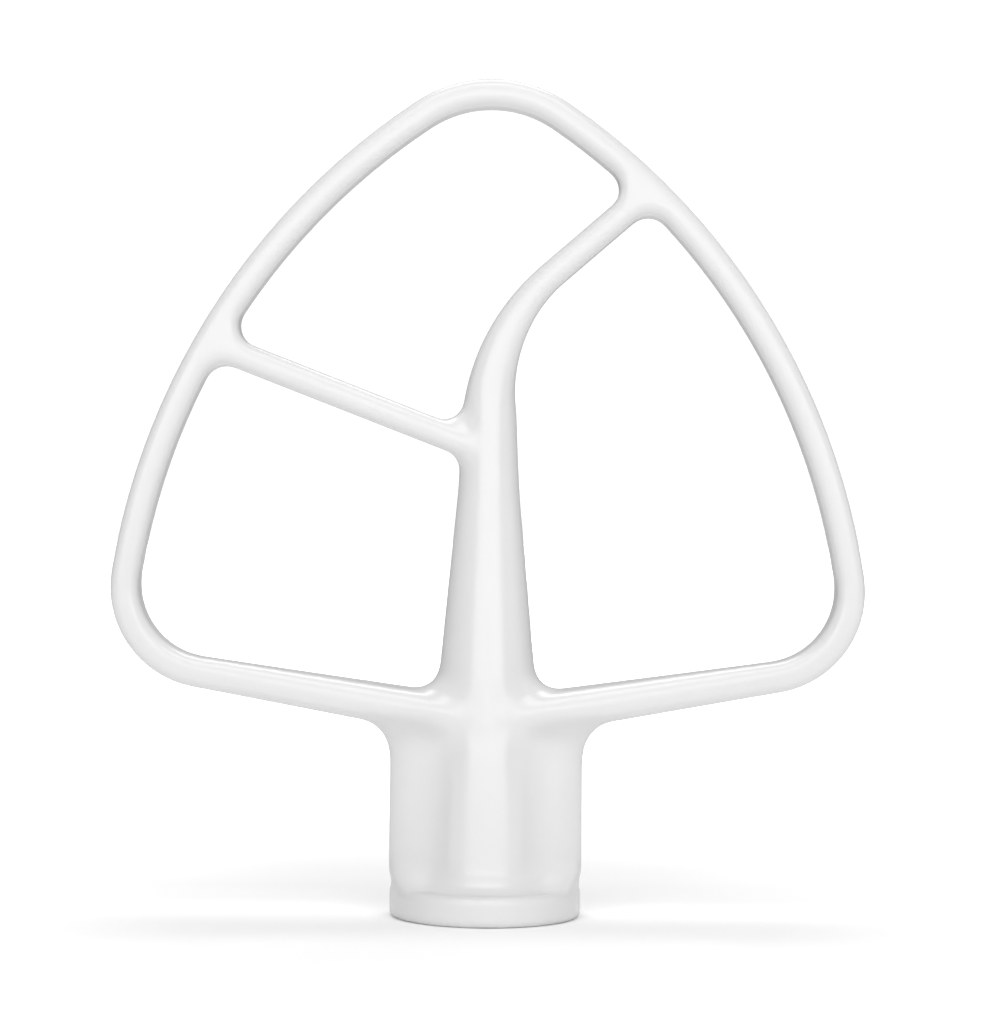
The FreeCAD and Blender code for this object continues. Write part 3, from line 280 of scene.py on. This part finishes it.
floor = bpy.data.objects.new("paper_floor", floor_mesh)
bpy.context.scene.collection.objects.link(floor)
paper = bpy.data.materials.new("matt_white_paper")
paper.use_nodes = True
tree = paper.node_tree
tree.nodes.clear()
sheet = add_node(tree, "ShaderNodeBsdfPrincipled",
                 values={"Base Color": linear("#F6F6F6"), "Roughness": 1.0,
                         "Specular IOR Level": 0.0})
floor_place = add_node(tree, "ShaderNodeTexCoord").outputs["Object"]
from_hub = add_node(tree, "ShaderNodeVectorMath", {"operation": "LENGTH"}, links={0: floor_place})
rise = add_node(tree, "ShaderNodeMapRange", {"interpolation_type": "SMOOTHSTEP"},
                {"From Min": LIFT_SPREAD[0], "From Max": LIFT_SPREAD[1],
                 "To Min": FLOOR_LIFT[0], "To Max": FLOOR_LIFT[1]},
                {"Value": from_hub.outputs["Value"]})
lift = add_node(tree, "ShaderNodeEmission", values={"Color": (1, 1, 1, 1)},
                links={"Strength": rise.outputs["Result"]})
sum_of_both = add_node(tree, "ShaderNodeAddShader",
                       links={0: sheet.outputs["BSDF"], 1: lift.outputs["Emission"]})
direct = add_node(tree, "ShaderNodeLightPath")
seen_floor = add_node(tree, "ShaderNodeMixShader",
                      links={"Fac": direct.outputs["Is Camera Ray"], 1: sheet.outputs["BSDF"],
                             2: sum_of_both.outputs["Shader"]})
add_node(tree, "ShaderNodeOutputMaterial", links={"Surface": seen_floor.outputs["Shader"]})
floor_mesh.materials.append(paper)

# The light: a studio with pale walls. Its even glow is weak, so the soft boxes over and
# in front of the object shape it. The camera sees a plain white behind everything.
ROOM_GLOW = 0.315
SEEN_WHITE = 1.1
MIDDLE = (0, 0, 0.07)
world = bpy.data.worlds.new("studio")
bpy.context.scene.world = world
world.use_nodes = True
tree = world.node_tree
tree.nodes.clear()
room = add_node(tree, "ShaderNodeBackground",
                values={"Color": (1, 1, 1, 1), "Strength": ROOM_GLOW})
seen = add_node(tree, "ShaderNodeBackground",
                values={"Color": (1, 1, 1, 1), "Strength": SEEN_WHITE})
direct = add_node(tree, "ShaderNodeLightPath")
both = add_node(tree, "ShaderNodeMixShader",
                links={"Fac": direct.outputs["Is Camera Ray"], 1: room.outputs["Background"],
                       2: seen.outputs["Background"]})
add_node(tree, "ShaderNodeOutputWorld", links={"Surface": both.outputs["Shader"]})


def soft_box(name, place, aim, width, height, glow):
    """Soft box of a size at a place, turned to face a point: power = pi * width * height * glow."""
    light = bpy.data.lights.new(name, "AREA")
    light.shape = "RECTANGLE"
    light.size, light.size_y, light.energy = width, height, math.pi * width * height * glow
    lamp = bpy.data.objects.new(name, light)
    away = np.array(aim, float) - np.array(place, float)
    lamp.location = place
    tilt = math.atan2(math.hypot(away[0], away[1]), -away[2])
    lamp.rotation_euler = (tilt, 0, math.atan2(-away[0], away[1]))
    bpy.context.scene.collection.objects.link(lamp)


soft_box("front_wall", (0, -0.9, 0.72), (0, 0, 0.72), 1.2, 0.8, 0.90)
soft_box("high_front_box", (0, -0.7, 1.1), MIDDLE, 1.2, 0.6, 2.2)
soft_box("low_front_box", (0.06, -0.9, 0.20), (0.06, 0, 0.20), 1.4, 0.22, 2.6)
soft_box("overhead_box", (0, 0.3, 0.85), (0, 0, 0.05), 0.6, 0.5, 3.2)
soft_box("right_box", (0.9, -0.1, 0.35), MIDDLE, 0.6, 0.6, 0.45)

# The camera: level with the object's middle, half a metre away and turned by half a degree,
# as in the photograph, where 0.18 mm of the object's plane fills one pixel.
CAMERA_AWAY = 0.510
CAMERA_ACROSS = 0.001873
CAMERA_HEIGHT = 0.072532
CAMERA_ROLL = -0.563
PIXEL = 0.00017979
ROWS = 1024
SENSOR = 36.0
camera_data = bpy.data.cameras.new("camera")
camera_data.sensor_width = SENSOR
camera_data.lens = SENSOR * CAMERA_AWAY / (PIXEL * ROWS)
camera_data.clip_start, camera_data.clip_end = 0.01, 100.0
camera = bpy.data.objects.new("camera", camera_data)
camera.location = (CAMERA_ACROSS, -CAMERA_AWAY, CAMERA_HEIGHT)
camera.rotation_euler = (math.radians(90), math.radians(CAMERA_ROLL), 0)
bpy.context.scene.collection.objects.link(camera)
bpy.context.scene.camera = camera
bpy.context.scene.view_settings.view_transform = "Standard"
bpy.context.scene.view_settings.look = "None"
